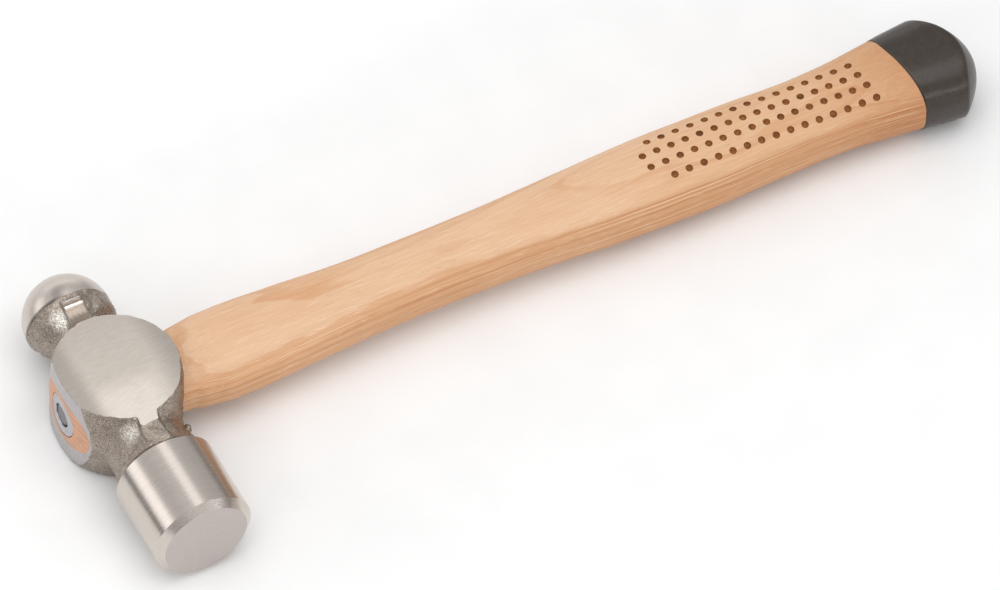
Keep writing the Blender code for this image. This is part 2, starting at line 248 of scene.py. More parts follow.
def contour(fun, xs, ys, zs):
    """Surface of fun = 0 on a rectilinear grid: one vertex in each cell that the
    surface crosses, placed where the surface's tangent planes meet, so edges stay crisp."""
    shape = (len(xs), len(ys), len(zs))
    f = np.empty(shape)
    Y, Z = np.meshgrid(ys, zs, indexing="ij")
    for i, x in enumerate(xs):
        f[i] = fun(np.full(Y.size, x), Y.ravel(), Z.ravel()).reshape(Y.shape)
    inside = f < 0
    axes = (xs, ys, zs)
    pos, quads_cells, flips = [], [], []
    ncell = np.array(shape) - 1
    for ax in range(3):
        a = [slice(None)] * 3
        b = [slice(None)] * 3
        a[ax], b[ax] = slice(None, -1), slice(1, None)
        change = inside[tuple(a)] != inside[tuple(b)]
        idx = np.argwhere(change)
        keep = np.ones(len(idx), bool)
        for k in range(3):
            if k != ax:
                keep &= (idx[:, k] > 0) & (idx[:, k] < shape[k] - 1)
        idx = idx[keep]
        j = idx.copy()
        j[:, ax] += 1
        fa, fb = f[tuple(idx.T)], f[tuple(j.T)]
        pa = np.stack([axes[k][idx[:, k]] for k in range(3)], 1)
        pb = np.stack([axes[k][j[:, k]] for k in range(3)], 1)
        for _ in range(4):
            t = np.clip(fa / (fa - fb), 0.04, 0.96)
            pc = pa + (pb - pa) * t[:, None]
            fc = fun(pc[:, 0], pc[:, 1], pc[:, 2])
            same = (fc < 0) == (fa < 0)
            pa = np.where(same[:, None], pc, pa)
            fa = np.where(same, fc, fa)
            pb = np.where(same[:, None], pb, pc)
            fb = np.where(same, fb, fc)
        t = fa / (fa - fb)
        pos.append(pa + (pb - pa) * t[:, None])
        u, v = [(1, 2), (2, 0), (0, 1)][ax]
        cells = []
        for du, dv in ((-1, -1), (0, -1), (0, 0), (-1, 0)):
            c = idx.copy()
            c[:, u] += du
            c[:, v] += dv
            cells.append((c[:, 0] * ncell[1] + c[:, 1]) * ncell[2] + c[:, 2])
        quads_cells.append(np.stack(cells, 1))
        flips.append(~inside[tuple(idx.T)])
    p = np.concatenate(pos)
    q = np.concatenate(quads_cells)
    flip = np.concatenate(flips)
    n = gradient(fun, p)
    ids, inv = np.unique(q.ravel(), return_inverse=True)
    inv = inv.reshape(-1, 4)
    m = len(ids)
    w = inv.ravel()
    rep = lambda v: np.repeat(v, 4)
    count = np.bincount(w, minlength=m).astype(float)
    mass = np.stack([np.bincount(w, rep(p[:, k]), m) for k in range(3)], 1) / count[:, None]
    A = np.empty((m, 3, 3))
    for i in range(3):
        for k in range(i, 3):
            A[:, i, k] = A[:, k, i] = np.bincount(w, rep(n[:, i] * n[:, k]), m)
    d = np.einsum("ij,ij->i", n, p)
    b = np.stack([np.bincount(w, rep(n[:, k] * d), m) for k in range(3)], 1)
    b -= np.einsum("nij,nj->ni", A, mass)
    A += np.eye(3) * 0.03
    x = mass + np.linalg.solve(A, b[..., None])[..., 0]
    c = np.stack([ids // (ncell[1] * ncell[2]), (ids // ncell[2]) % ncell[1], ids % ncell[2]], 1)
    for k in range(3):
        low, high = axes[k][c[:, k]], axes[k][c[:, k] + 1]
        x[:, k] = np.clip(x[:, k], low, high)
    faces = np.where(flip[:, None], inv[:, ::-1], inv)
    return x, faces


def build_head():
    s = 0.395
    xs = np.arange(-17.9, 20.6, s)
    zs = np.arange(-16.0, 16.2, s) + 0.011
    ys = np.concatenate([np.arange(-58.9, -54.9, 0.32), np.arange(-54.3, -31.8, 1.15),
                         np.arange(-31.3, 45.1, s)])
    v, f = contour(head_field, xs, ys, zs)
    return v, f



def grad_of(k, v):
    """Outward normals at the points v of one of the surfaces that make the head."""
    x, y, z = v[:, 0], v[:, 1], v[:, 2]
    o = np.zeros_like(x)
    if k == "blank":
        return gradient(blank_field, v, 0.12)
    if k == "cheek":
        n = np.stack([o, y / CHEEK_CROWN, np.sign(z)], 1)
        return n / np.linalg.norm(n, axis=1, keepdims=True)
    if k == "eye":
        n = np.stack([-np.ones_like(x), (y - CROWN_Y) / CROWN_R * -1.0 * -1.0, o], 1)
        n[:, 1] = (y - CROWN_Y) / CROWN_R
        n[:, 2] = 0.012
    elif k == "cap":
        n = np.stack([x, np.maximum(y - BALL_Y, 0), z], 1)
    elif k == "bore":
        return gradient(lambda a, b, c: fields(a, b, c, False)[4], v, 0.05)
    elif k == "side":
        n = np.stack([x, o, z], 1)
    elif k in ("cham", "dome", "back", "lip"):
        i = {"cham": 6, "dome": 7, "back": 8, "lip": 9}[k]
        return gradient(lambda a, b, c: fields(a, b, c, False)[i], v, 0.02)
    return n / np.maximum(np.linalg.norm(n, axis=1, keepdims=True), 1e-9)


KINDS = ("blank", "cheek", "eye", "cap", "bore", "side", "cham", "dome", "back", "lip")


def add_attribute(me, name, values):
    a = me.attributes.new(name, "FLOAT", "POINT")
    a.data.foreach_set("value", np.asarray(values, np.float32))


def make_head():
    v, f = build_head()
    me = bpy.data.meshes.new("hammer_head")
    me.vertices.add(len(v))
    me.vertices.foreach_set("co", to_row(v).astype(np.float32).ravel())
    me.loops.add(f.size)
    me.loops.foreach_set("vertex_index", f.astype(np.int32).ravel())
    me.polygons.add(len(f))
    me.polygons.foreach_set("loop_start", np.arange(0, f.size, 4, dtype=np.int32))
    me.polygons.foreach_set("loop_total", np.full(len(f), 4, dtype=np.int32))
    me.polygons.foreach_set("use_smooth", np.ones(len(f), bool))
    me.update(calc_edges=True)
    # finish regions: positive inside the region, in millimetres
    F = fields(v[:, 0], v[:, 1], v[:, 2])
    body, poll = np.maximum.reduce(F[:5]), np.maximum.reduce(F[5:])
    on_poll = body - poll
    for name, k in (("r_cheek", 1), ("r_eye", 2), ("r_ball", 3), ("r_bore", 4)):
        rest = np.maximum.reduce([F[i] for i in range(5) if i != k])
        add_attribute(me, name, np.minimum(F[k] - rest, -on_poll + 0.3))
    add_attribute(me, "r_poll", on_poll)
    add_attribute(me, "r_face", F[7] - F[6])
    x, y, z = v.T
    top = np.interp(y, fine, STRIP_F)
    on_top = 0.35 - np.abs(np.abs(z) - top)
    inside = np.interp(y, fine, STRIP_H) - 0.1 - np.abs(x - np.interp(y, fine, STRIP_C))
    band = np.minimum(y - 18.0, 28.6 - y)
    add_attribute(me, "r_strip", np.minimum(np.minimum(on_top, inside), band))
    # normals of each face's own surface at its corners, so ground edges stay crisp
    c = v[f].mean(1)
    G = np.array(fields(c[:, 0], c[:, 1], c[:, 2]))
    bodyc, pollc = G[:5].argmax(0), G[5:].argmax(0) + 5
    kind = np.where(G[:5].max(0) < G[5:].max(0), bodyc, pollc)
    normals = np.zeros((len(f), 4, 3))
    for k, name in enumerate(KINDS):
        m = kind == k
        if m.any():
            ids, inv = np.unique(f[m].ravel(), return_inverse=True)
            normals[m] = grad_of(name, v[ids])[inv.ravel()].reshape(-1, 4, 3)
    me.normals_split_custom_set([tuple(n) for n in normals.reshape(-1, 3)])
    ob = bpy.data.objects.new("hammer_head", me)
    bpy.context.scene.collection.objects.link(ob)
    return ob


# ================================================================ the handle
GRIP = [(20.7, 12.4, 8.8, 0.05), (21.9, 12.8, 9.1, 0.05), (25.65, 13.3, 9.5, 0.1),
        (32.05, 14.05, 10.0, 0.05), (38.5, 14.0, 10.1, 0.15), (51.3, 13.35, 9.75, 0.15),
        (64.15, 12.65, 9.35, 0.1), (83.4, 11.8, 8.95, 0.2), (102.6, 11.6, 8.85, 0.25),
        (121.85, 11.8, 9.1, 0.25), (141.1, 12.35, 9.75, 0.2), (160.35, 13.2, 10.5, -0.05),
        (179.6, 13.75, 11.0, -0.05), (190.3, 13.7, 11.1, -0.2), (205.25, 13.3, 10.95, -0.1),
        (224.5, 12.75, 10.55, -0.25), (237.3, 13.05, 10.8, -0.1), (250.15, 14.2, 11.75, -0.05),
        (258.7, 15.15, 12.4, 0.0), (267.25, 16.05, 12.85, -0.2), (280.1, 17.8, 13.05, 0.9)]
SLANT, DIP_X, END_X, END_SLANT, END_RY, END_RZ, END_ROUND = 0.19, 255.9, 279.65, 0.227, 12.3, 16.6, 1.5
RING_R, RING_B, RING_Y, RING_Z = 6.75, 3.8, 1.1, -0.35
SIDES = 112
grip_x = np.linspace(20.7, 280.1, 2600)
GRIP_A, GRIP_B, GRIP_O = (pchip(GRIP, k, grip_x) for k in (1, 2, 3))
ANG = 2 * math.pi * np.arange(SIDES) / SIDES


def oval(a, b, n, ang=ANG):
    c, s = np.cos(ang), np.sin(ang)
    return a * np.sign(c) * np.abs(c)**(2 / n), b * np.sign(s) * np.abs(s)**(2 / n)


def even_angles(n_exp):
    """Angles whose points are spread evenly round a superellipse."""
    t = np.linspace(0, 2 * math.pi, 20001)
    y, z = oval(13.0, 10.0, n_exp, t)
    s = np.concatenate([[0], np.cumsum(np.hypot(np.diff(y), np.diff(z)))])
    return np.interp(np.arange(SIDES) / SIDES * s[-1], s, t)


ANG = even_angles(NN)


def grip_ring(x, inset=0.0):
    """Points (y, z) of the handle's side at stations x (one for each side)."""
    a, b, o = (np.interp(x, grip_x, g) for g in (GRIP_A, GRIP_B, GRIP_O))
    c, s = np.cos(ANG), np.sin(ANG)
    e = 2 / NN
    return ((a - inset) * np.sign(c) * np.abs(c)**e + o, (b - inset) * np.sign(s) * np.abs(s)**e)


def end_x(y, z, inset=0.0):
    return END_X - inset - END_SLANT * y - y * y / (2 * END_RY) - z * z / (2 * END_RZ)


def side_ring(u, inset=0.0, end_inset=0.0, dip=DIP_X):
    x = np.full(SIDES, float(dip))
    for _ in range(6):
        y, z = grip_ring(x, inset)
        x = (dip - SLANT * y) * (1 - u) + end_x(y, z, end_inset) * u
    return np.stack([x, y, z], 1)


def rounded_end(inset, radius, dip=DIP_X, steps=6, rings=10):
    """Side to dome through a rounded edge, then the dome down to its middle."""
    out = []
    for i in range(steps + 1):
        t = math.pi / 2 * i / steps
        e = inset + radius * (1 - math.cos(t))
        r = side_ring(1.0, e, inset, dip)
        r[:, 0] -= radius * (1 - math.sin(t)) * 0.75
        out.append(r)
    edge = out[-1]
    for i in range(1, rings):
        s = 1 - i / rings
        y, z = edge[:, 1] * s, edge[:, 2] * s
        out.append(np.stack([end_x(y, z, inset), y, z], 1))
    out.append(np.array([[end_x(0.0, 0.0, inset), 0.0, 0.0]]))
    return out


def crown(y, z=0.0):
    return CROWN_X - (y - CROWN_Y)**2 / (2 * CROWN_R) + 0.012 * (CHEEK_T - z)


def loft(name, rings):
    """Closed mesh object through rings of points; a one-point ring closes an end."""
    bm = bmesh.new()
    loops = [[bm.verts.new(to_row(p)) for p in ring] for ring in rings]
    n = max(len(r) for r in rings)
    for a, b in zip(loops, loops[1:]):
        for i in range(n):
            j = (i + 1) % n
            if len(a) == 1:
                bm.faces.new((a[0], b[j], b[i]))
            elif len(b) == 1:
                bm.faces.new((a[i], a[j], b[0]))
            else:
                bm.faces.new((a[i], a[j], b[j], b[i]))
    bmesh.ops.recalc_face_normals(bm, faces=bm.faces)
    me = bpy.data.meshes.new(name)
    bm.to_mesh(me)
    bm.free()
    ob = bpy.data.objects.new(name, me)
    bpy.context.scene.collection.objects.link(ob)
    return ob


def lathe_x(name, profile, sides=64, cy=0.0, cz=0.0, shape=None):
    """Closed solid turned about a line parallel to X at (y, z) = (cy, cz), from (x, r) pairs."""
    t = 2 * math.pi * np.arange(sides) / sides
    rings = []
    for x, r in profile:
        if r <= 1e-6:
            p = np.array([[x, cy, cz]])
        else:
            p = np.stack([np.full(sides, float(x)), cy + r * np.cos(t), cz + r * np.sin(t)], 1)
        if shape is not None:
            p = shape(p, x, r)
        rings.append(p)
    if rings[0].shape[0] > 1 and rings[-1].shape[0] > 1:
        rings.append(rings[0])        # a ring: the profile closes on itself
        bm = bmesh.new()
        loops = [[bm.verts.new(to_row(q)) for q in r] for r in rings[:-1]]
        loops.append(loops[0])
        for a, b in zip(loops, loops[1:]):
            for i in range(sides):
                j = (i + 1) % sides
                bm.faces.new((a[i], a[j], b[j], b[i]))
        bmesh.ops.recalc_face_normals(bm, faces=bm.faces)
        me = bpy.data.meshes.new(name)
        bm.to_mesh(me)
        bm.free()
        ob = bpy.data.objects.new(name, me)
        bpy.context.scene.collection.objects.link(ob)
        return ob
    return loft(name, rings)


def cut(ob, cutters, solver="EXACT"):
    """Boolean difference, applied; the cutters are removed. Cut faces take the cutter's material."""
    for c in cutters:
        m = ob.modifiers.new("cut", "BOOLEAN")
        m.operation, m.solver, m.object = "DIFFERENCE", solver, c
        m.material_mode = "TRANSFER"
    bpy.context.view_layer.update()
    me = bpy.data.meshes.new_from_object(ob.evaluated_get(bpy.context.evaluated_depsgraph_get()))
    old = ob.data
    ob.modifiers.clear()
    ob.data = me
    bpy.data.meshes.remove(old)
    for c in cutters:
        bpy.data.objects.remove(c)


# grip dimples: four rows that bend a little with the handle, (x of the first, how many, y)
# (x of the first, how many, y, run of y, bend, how far the middle of the row is drawn on)
DIMPLES = ((177.15, 15, 6.75, 0.0, 0.00037, 0.08), (173.35, 16, 2.3, 0.0, 0.00037, 0.08),
           (173.95, 16, -2.3, 0.0120, 0.00049, 0.12), (179.25, 15, -7.22, 0.0065, 0.00037, 0.15))
PITCH, DIMPLE_R = 4.66, 1.15


def dimple_axes():
    """Centre on the surface and outward direction of every dimple, on both broad sides."""
    out = []
    for x0, count, y0, run, bend, draw in DIMPLES:
        for i in range(count):
            x = x0 + i * PITCH + draw * i * (1 - i / 22)
            y = y0 + run * (x - x0) - bend * (x - (x0 if y0 < -5 else 174.0))**2
            x, y = x + 0.05 * math.sin(5.1 * i + y0), y + 0.04 * math.sin(3.7 * i + 2 * y0)
            a, b, o = (np.interp(x, grip_x, g) for g in (GRIP_A, GRIP_B, GRIP_O))
            u = (y - o) / a
            z = b * (1 - abs(u)**NN)**(1 / NN)
            ny = np.sign(u) * abs(u)**(NN - 1) / a
            nz = (z / b)**(NN - 1) / b
            n = Vector((0.0, ny, nz)).normalized()
            # drilled nearly square to the broad side
            n = Vector((0.0, n.y * 0.55, n.z)).normalized()
            for side in (1, -1):
                out.append(((x, y, z * side), (n.x, n.y, n.z * side)))
    return out


def dimple_cutters():
    bm = bmesh.new()
    prof = ((1.2, 1.14), (-0.12, 1.12), (-0.45, 1.06), (-0.75, 0.94), (-0.98, 0.74), (-1.12, 0.42))
    for c, n in dimple_axes():
        rot = Vector(n).to_track_quat("Z", "Y").to_matrix()
        loops = []
        for h, r in prof:
            ring = []
            for k in range(24):
                t = 2 * math.pi * (k + 0.37) / 24
                q = Vector(c) + rot @ Vector((r * DIMPLE_R / 1.14 * math.cos(t), r * DIMPLE_R / 1.14 * math.sin(t), h))
                ring.append(bm.verts.new(to_row(q)))
            loops.append(ring)
        top = bm.verts.new(to_row(Vector(c) + rot @ Vector((0, 0, 1.2))))
        tip = bm.verts.new(to_row(Vector(c) + rot @ Vector((0, 0, -1.18))))
        for k in range(24):
            j = (k + 1) % 24
            bm.faces.new((top, loops[0][k], loops[0][j]))
            for a, b in zip(loops, loops[1:]):
                bm.faces.new((a[k], b[k], b[j], a[j]))
            bm.faces.new((loops[-1][k], tip, loops[-1][j]))
    bmesh.ops.recalc_face_normals(bm, faces=bm.faces)
    me = bpy.data.meshes.new("dimples")
    bm.to_mesh(me)
    bm.free()
    ob = bpy.data.objects.new("dimples", me)
    bpy.context.scene.collection.objects.link(ob)
    return ob


def make_handle():
    rings = [np.array([[-crown(0.0) - 0.02, 0.0, 0.0]])]
    for s in (0.12, 0.24, 0.36, 0.48, 0.6, 0.72, 0.84, 0.93, 1.0):
        y, z = oval(12.6 * s, 8.43 * s, NN)
        rings.append(np.stack([-crown(y, z) - 0.02, y, z], 1))
    for x in np.append(np.arange(-15.0, 19.0, 1.6), (19.6, 20.3)):
        a, b = np.interp(x, tenon_x, TENON_A), np.interp(x, tenon_x, TENON_B)
        y, z = oval(a, b, NN)
        rings.append(np.stack([np.full(SIDES, x), y, z], 1))
    for x in np.concatenate([[20.75, 21.2, 21.7, 22.4, 23.2], np.arange(24.2, 248.5, 1.15)]):
        y, z = grip_ring(np.full(SIDES, x))
        rings.append(np.stack([np.full(SIDES, x), y, z], 1))
    gap = 0.12
    last = rings[-1][:, 0]
    for u in (0.35, 0.7, 1.0):
        r = side_ring(0.0, 0.0, 0.0, DIP_X - gap)
        x = last * (1 - u) + r[:, 0] * u
        y, z = grip_ring(x)
        rings.append(np.stack([x, y, z], 1))
    under = 0.75
    rings.append(side_ring(0.0, under, 0.0, DIP_X - gap))
    for u in (0.33, 0.66):
        rings.append(side_ring(u, under, under + END_ROUND, DIP_X))
    rings += rounded_end(under, END_ROUND, DIP_X, 3, 4)
    # sanding leaves the side not quite true
    for r in rings:
        if len(r) > 1 and r[0, 0] > 21:
            n = noise(r, (26, 9, 9), 4) * 0.07 + noise(r, (9, 5, 5), 5) * 0.025
            rad = r[:, 1:] / np.linalg.norm(r[:, 1:], axis=1, keepdims=True)
            r[:, 1:] += rad * n[:, None]
    ob = loft("handle_wood", rings)
    side_mat, end_mat, burnt_mat = wood(), end_grain(), burnt()
    for mt in (side_mat, end_mat, burnt_mat):
        ob.data.materials.append(mt)
    gap = 0.2
    seat = lathe_x("seat", [(-20.0, RING_B - 0.12), (-20.0, RING_R + gap), (-CROWN_X, RING_R + gap),
                            (-CROWN_X + 15.3, 5.65 + gap), (-CROWN_X + 15.3, 4.4), (-CROWN_X + 3.4, RING_B - 0.12)],
                   64, RING_Y, RING_Z)
    pocket = lathe_x("pocket", [(-20.0, 0.0), (-20.0, RING_B + 0.3), (-CROWN_X + 3.5, RING_B + 0.3), (-CROWN_X + 3.5, 0.0)],
                     64, RING_Y, RING_Z)
    dimples = dimple_cutters()
    for c, mt in ((seat, burnt_mat), (pocket, burnt_mat), (dimples, burnt_mat)):
        c.data.materials.append(mt)
        c.data.polygons.foreach_set("use_smooth", np.ones(len(c.data.polygons), bool))
    cut(ob, [seat, pocket])
    cut(ob, [dimples])
    me = ob.data
    # the tenon's end shows end grain
    cen = np.empty(len(me.polygons) * 3)
    me.polygons.foreach_get("center", cen)
    cen = cen.reshape(-1, 3) * 1000 - ORIGIN
    nor = np.empty(len(me.polygons) * 3)
    me.polygons.foreach_get("normal", nor)
    nor = nor.reshape(-1, 3)
    index = np.zeros(len(me.polygons), np.int32)
    me.polygons.foreach_get("material_index", index)
    index[(cen[:, 0] < -14.5) & (nor[:, 0] < -0.8)] = 1
    me.polygons.foreach_set("material_index", index)
    return ob


def make_coat():
    proud = 0.16
    rings = []
    # inner skin, from the dome's middle back to the lip
    inner = [side_ring(u, 0.62, 0.62 + END_ROUND) for u in (0.0, 0.33, 0.66)] + rounded_end(0.62, END_ROUND, DIP_X, 3, 4)
    rings += list(reversed(inner))
    wave = 0.18 * np.sin(ANG * 3 + 0.7) + 0.1 * np.sin(ANG * 7 + 2.0)
    for dx, e in ((-0.05, 0.02), (0.0, -0.05), (0.12, -0.11), (0.35, -0.15), (0.8, -proud)):
        r = side_ring(0.0, e)
        r[:, 0] += dx + wave
        y, z = grip_ring(r[:, 0], e)
        r[:, 1], r[:, 2] = y, z
        rings.append(r)
    for u in np.linspace(0.07, 0.93, 22):
        rings.append(side_ring(u, -proud, 1.0))
    rings += rounded_end(-proud + 0.0, 0.6, DIP_X, 5, 12)
    for r in rings[len(inner) + 3:]:
        if len(r) > 1:
            n = noise(r, 7.0, 6) * 0.05 + noise(r, 2.6, 7) * 0.018
            rad = r[:, 1:] / np.maximum(np.linalg.norm(r[:, 1:], axis=1, keepdims=True), 1e-6)
            r[:, 1:] += rad * n[:, None]
    return loft("butt_coat_skin", rings)


def make_ring():
    """Round steel wedge, ground off with the eye's face, so its end follows the crown."""
    L = 15.0
    prof = [(0.0, RING_B + 0.12), (0.0, RING_R - 0.12), (0.1, RING_R - 0.02), (0.6, RING_R),
            (L, 5.65), (L, 4.6), (3.3, RING_B), (0.25, RING_B), (0.1, RING_B + 0.04)]

    def shape(p, d, r):
        x = -crown(p[:, 1], p[:, 2]) + d
        if d > 1:
            x = np.full(len(p), -CROWN_X + d)
        t = np.arctan2(p[:, 2] - RING_Z, p[:, 1] - RING_Y)
        w = 0.05 * np.sin(5 * t + r) + 0.035 * np.sin(11 * t + 2 * r)
        q = p.copy()
        q[:, 0] = x
        q[:, 1] += w * np.cos(t)
        q[:, 2] += w * np.sin(t)
        return q

    return lathe_x("ring_wedge_steel", prof, 96, RING_Y, RING_Z, shape)


def make_plug():
    """Dark filling in the ring's bore: uneven rim, slightly dished and grainy top."""
    rng = np.random.default_rng(5)
    sides = 72
    t = 2 * math.pi * np.arange(sides) / sides
    edge = 3.52 + 0.13 * np.sin(4 * t + 1) + 0.08 * np.sin(9 * t) + 0.05 * rng.standard_normal(sides)
    edge = np.minimum(edge, 3.68)
    rings = [np.array([[-crown(RING_Y, RING_Z) + 0.42, RING_Y, RING_Z]])]
    for s in (0.1, 0.2, 0.3, 0.4, 0.5, 0.6, 0.7, 0.8, 0.88, 0.95, 1.0):
        y, z = RING_Y + edge * s * np.cos(t), RING_Z + edge * s * np.sin(t)
        p = np.stack([0 * t, y, z], 1)
        depth = 0.42 - 0.12 * s**4 + (0.25 if s == 1.0 else 0.0) + 0.05 * noise(p, 0.9, 8) + 0.03 * noise(p, 0.4, 9)
        p[:, 0] = -crown(y, z) + depth
        rings.append(p)
    for d in (1.6, 3.1):
        rings.append(np.stack([np.full(sides, -CROWN_X + d), RING_Y + 3.6 * np.cos(t), RING_Z + 3.6 * np.sin(t)], 1))
    rings.append(np.array([[-CROWN_X + 3.1, RING_Y, RING_Z]]))
    return loft("sealing_plug_fill", rings)


# ================================================================ materials
class Net:
    """Small helper for node materials. Coordinates are the hammer frame in millimetres."""

    def __init__(self, name):
        self.mat = bpy.data.materials.new(name)
        self.mat.use_nodes = True
        self.nt = self.mat.node_tree
        self.nt.nodes.clear()
        self.out = self.nt.nodes.new("ShaderNodeOutputMaterial")
        self.bsdf = self.nt.nodes.new("ShaderNodeBsdfPrincipled")
        self.nt.links.new(self.bsdf.outputs[0], self.out.inputs[0])
        tc = self.nt.nodes.new("ShaderNodeTexCoord")
        sub = self.vec("SUBTRACT", tc.outputs["Object"], tuple(ORIGIN * 0.001))
        self.mm = self.vec("SCALE", sub, None, scale=1000.0)
        s = self.nt.nodes.new("ShaderNodeSeparateXYZ")
        self.nt.links.new(self.mm, s.inputs[0])
        self.x, self.y, self.z = s.outputs

    def put(self, socket, value):
        if isinstance(value, bpy.types.NodeSocket):
            self.nt.links.new(value, socket)
        elif value is not None:
            if hasattr(socket.default_value, "__len__") and not hasattr(value, "__len__"):
                value = (value,) * len(socket.default_value)
            if hasattr(value, "__len__") and len(value) == 3 and len(socket.default_value) == 4:
                value = (*value, 1.0)
            socket.default_value = value

    def vec(self, op, a, b=None, scale=None):
        n = self.nt.nodes.new("ShaderNodeVectorMath")
        n.operation = op
        self.put(n.inputs[0], a)
        if b is not None:
            self.put(n.inputs[1], b)
        if scale is not None:
            self.put(n.inputs[3], scale)
        return n.outputs[0]

    def math(self, op, a, b=None, c=None, clamp=False):
        n = self.nt.nodes.new("ShaderNodeMath")
        n.operation, n.use_clamp = op, clamp
        for s, v in zip(n.inputs, (a, b, c)):
            if v is not None:
                self.put(s, v)
        return n.outputs[0]

    def add(self, a, b): return self.math("ADD", a, b)
    def mul(self, a, b): return self.math("MULTIPLY", a, b)

    def xyz(self, x, y, z):
        n = self.nt.nodes.new("ShaderNodeCombineXYZ")
        for s, v in zip(n.inputs, (x, y, z)):
            self.put(s, v)
        return n.outputs[0]

    def scaled(self, sx, sy, sz, base=None):
        return self.vec("MULTIPLY", base if base is not None else self.mm, (sx, sy, sz))

    def noise(self, vec, scale=1.0, detail=2.0, rough=0.5, distortion=0.0):
        n = self.nt.nodes.new("ShaderNodeTexNoise")
        self.put(n.inputs["Vector"], vec)
        self.put(n.inputs["Scale"], scale)
        self.put(n.inputs["Detail"], detail)
        self.put(n.inputs["Roughness"], rough)
        self.put(n.inputs["Distortion"], distortion)
        return n.outputs["Fac"]

    def voronoi(self, vec, scale=1.0, feature="F1", out="Distance", random=1.0):
        n = self.nt.nodes.new("ShaderNodeTexVoronoi")
        n.feature = feature
        self.put(n.inputs["Vector"], vec)
        self.put(n.inputs["Scale"], scale)
        self.put(n.inputs["Randomness"], random)
        return n.outputs[out]

    def white(self, value):
        n = self.nt.nodes.new("ShaderNodeTexWhiteNoise")
        n.noise_dimensions = "1D"
        self.put(n.inputs["W"], value)
        return n.outputs["Value"]

    def attr(self, name):
        n = self.nt.nodes.new("ShaderNodeAttribute")
        n.attribute_name = name
        return n.outputs["Fac"]

    def range(self, v, a, b, c=0.0, d=1.0, smooth=True):
        n = self.nt.nodes.new("ShaderNodeMapRange")
        n.interpolation_type = "SMOOTHSTEP" if smooth else "LINEAR"
        for s, q in zip(n.inputs, (v, a, b, c, d)):
            self.put(s, q)
        return n.outputs[0]

    def mix(self, f, a, b, blend="MIX"):
        n = self.nt.nodes.new("ShaderNodeMix")
        n.data_type, n.blend_type = "RGBA", blend
        self.put(n.inputs[0], f)
        self.put(n.inputs[6], a)
        self.put(n.inputs[7], b)
        return n.outputs[2]

    def lerp(self, f, a, b):
        n = self.nt.nodes.new("ShaderNodeMix")
        n.data_type = "FLOAT"
        self.put(n.inputs[0], f)
        self.put(n.inputs[2], a)
        self.put(n.inputs[3], b)
        return n.outputs[0]

    def ramp(self, f, stops, mode="LINEAR"):
        n = self.nt.nodes.new("ShaderNodeValToRGB")
        n.color_ramp.interpolation = mode
        e = n.color_ramp.elements
        while len(e) < len(stops):
            e.new(0.5)
        for el, (p, c) in zip(e, stops):
            el.position = p
            el.color = (*c, 1.0) if len(c) == 3 else c
        self.put(n.inputs[0], f)
        return n.outputs["Color"]

    def bump(self, height, distance=0.0001, strength=1.0, normal=None):
        n = self.nt.nodes.new("ShaderNodeBump")
        self.put(n.inputs["Height"], height)
        self.put(n.inputs["Distance"], distance)
        self.put(n.inputs["Strength"], strength)
        if normal is not None:
            self.put(n.inputs["Normal"], normal)
        return n.outputs[0]

    def set(self, **values):
        for k, v in values.items():
            self.put(self.bsdf.inputs[k.replace("_", " ")], v)
        return self.mat


def srgb(r, g, b):
    f = lambda c: (c / 255 / 12.92) if c / 255 <= 0.04045 else ((c / 255 + 0.055) / 1.055)**2.4
    return f(r), f(g), f(b)


